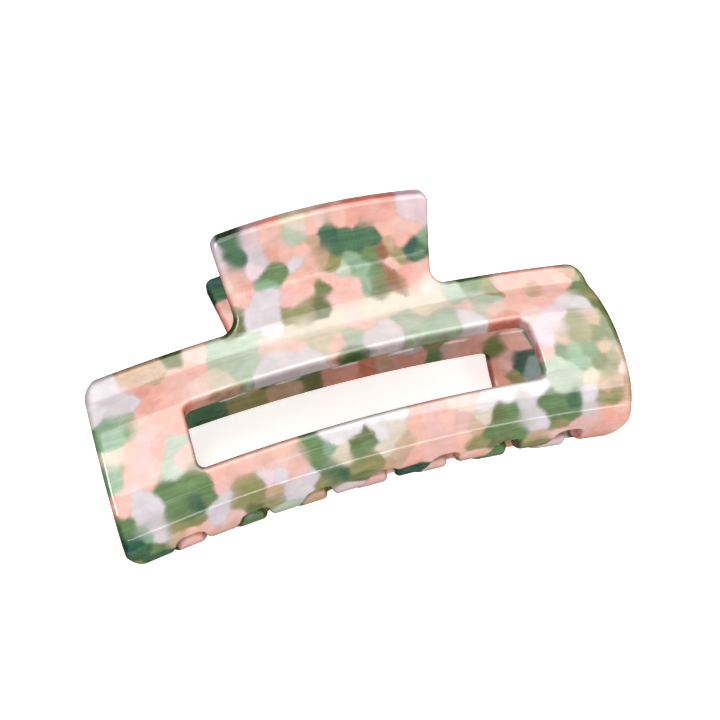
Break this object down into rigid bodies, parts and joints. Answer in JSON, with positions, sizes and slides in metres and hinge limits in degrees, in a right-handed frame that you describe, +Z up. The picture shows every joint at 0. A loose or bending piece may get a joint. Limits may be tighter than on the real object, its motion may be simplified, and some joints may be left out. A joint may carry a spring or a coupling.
{
  "type": "claw hair clip",
  "caption": "Rectangular open-frame claw hair clip: two arched, windowed jaws with interlacing teeth and squeeze handles, hinged on a pin and closed by a coil spring.",
  "frame": {"origin": "centre of the footprint, at the bottom, with the closed clip lying on its rear jaw", "axes": "+X along the clip and the hinge pin, +Y from the teeth to the handles, +Z up, from the rear jaw to the front jaw"},
  "size_m": [0.1038, 0.0577, 0.0411],
  "materials": {
    "acetate": "polished marbled acetate in peach, lavender white, olive and green",
    "lug_acetate": "polished olive green acetate",
    "steel": "satin",
    "spring_steel": "bright drawn wire"
  },
  "bodies": {
    "rear_half": {"rear_jaw": "acetate", "rear_lug_left": "lug_acetate", "rear_lug_right": "lug_acetate", "hinge_pin": "steel", "pin_cap": "steel", "torsion_spring": "spring_steel"},
    "front_half": {"front_jaw": "acetate", "front_lug_left": "lug_acetate", "front_lug_right": "lug_acetate"}
  },
  "joints": [
    {"name": "jaw_hinge", "type": "hinge", "parent": "rear_half", "child": "front_half", "pos_m": [0, 0.00815, 0.02047], "axis": [-1, 0, 0], "range_deg": [0, 65], "stiffness_Nm_per_rad": 0.06, "springref_deg": -51.57, "deforming": ["torsion_spring"]}
  ]
}
